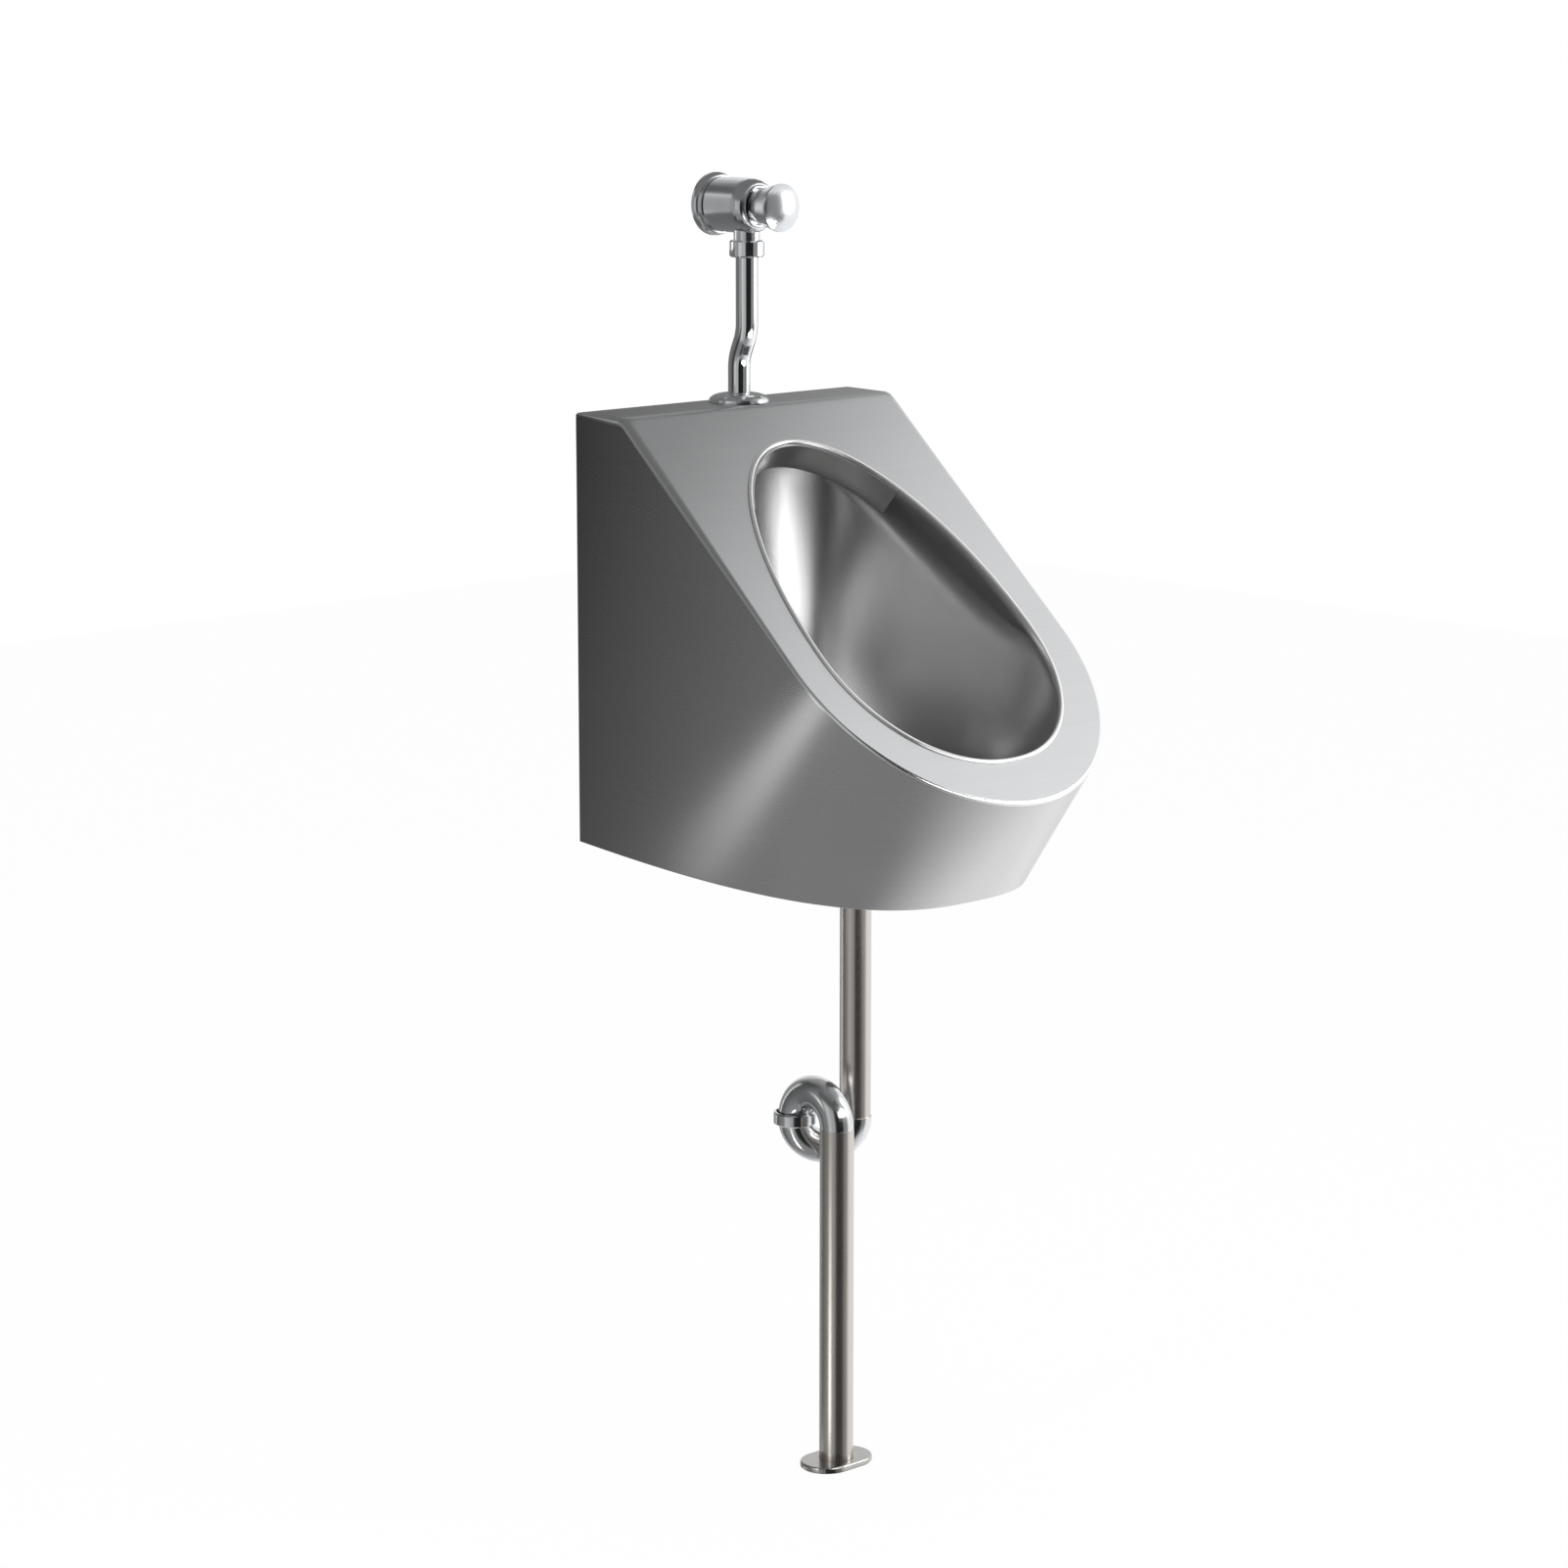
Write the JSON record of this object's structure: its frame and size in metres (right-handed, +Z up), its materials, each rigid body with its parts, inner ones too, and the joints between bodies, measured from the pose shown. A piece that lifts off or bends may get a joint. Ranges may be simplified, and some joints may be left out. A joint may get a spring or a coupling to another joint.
{
  "type": "urinal",
  "caption": "Wall-hung stainless steel urinal: sloping oval bowl, push-button flush valve and pipe above, waste pipe with a two-bend trap to a floor plate below.",
  "frame": {"origin": "middle of the wall bracket's back face, in the wall plane, where the urinal hangs", "axes": "+X to the user's right, +Y into the wall, +Z up"},
  "size_m": [0.35, 0.4568, 1.216],
  "materials": {
    "brushed_body": "fine brushed stainless sheet with soft reflections",
    "polished": "bright polished chrome",
    "satin_pipe": "satin stainless tube, slightly warm",
    "brass": "machined brass",
    "seal": "matt black rubber",
    "plastic": "smooth white acetal",
    "spring_steel": "drawn spring wire"
  },
  "bodies": {
    "root": {"apron": "brushed_body", "face_plate": "brushed_body", "bowl": "brushed_body", "splash_collar": "brushed_body", "back_panel": "brushed_body", "wall_bracket": "brushed_body", "bottom_cover": "brushed_body", "cover_screws": "polished", "strainer": "polished", "strainer_screw": "polished", "waste_fitting": "brass", "drain_seal": "seal", "drain_washer": "seal", "drain_locknut": "brass", "tail_nut": "brass", "tail_seal": "seal", "waste_pipe": "satin_pipe", "trap_lower_bend": "polished", "union_nut": "polished", "union_washer": "seal", "trap_upper_bend": "polished", "floor_pipe": "satin_pipe", "floor_plate": "polished", "floor_gasket": "seal", "wall_rosette": "polished", "valve_body": "polished", "inlet_nipple": "brass", "valve_seat": "brass", "gland": "brass", "stem_seal": "seal", "ring_nut": "polished", "outlet_washer": "seal", "flush_pipe": "polished", "dome_flange": "polished", "inlet_spud": "brass", "spud_seal": "seal", "spud_locknut": "brass"},
    "button": {"push_button": "polished", "push_rod": "brass", "piston": "plastic", "piston_seal": "seal", "seat_washer": "seal", "piston_nut": "brass", "return_spring": "spring_steel"}
  },
  "joints": [
    {"name": "button_slide", "type": "slide", "parent": "root", "child": "button", "axis": [0, 1, 0], "range_m": [0, 0.006], "stiffness_N_per_m": 700, "springref_m": -0.006, "deforming": ["return_spring"]}
  ]
}
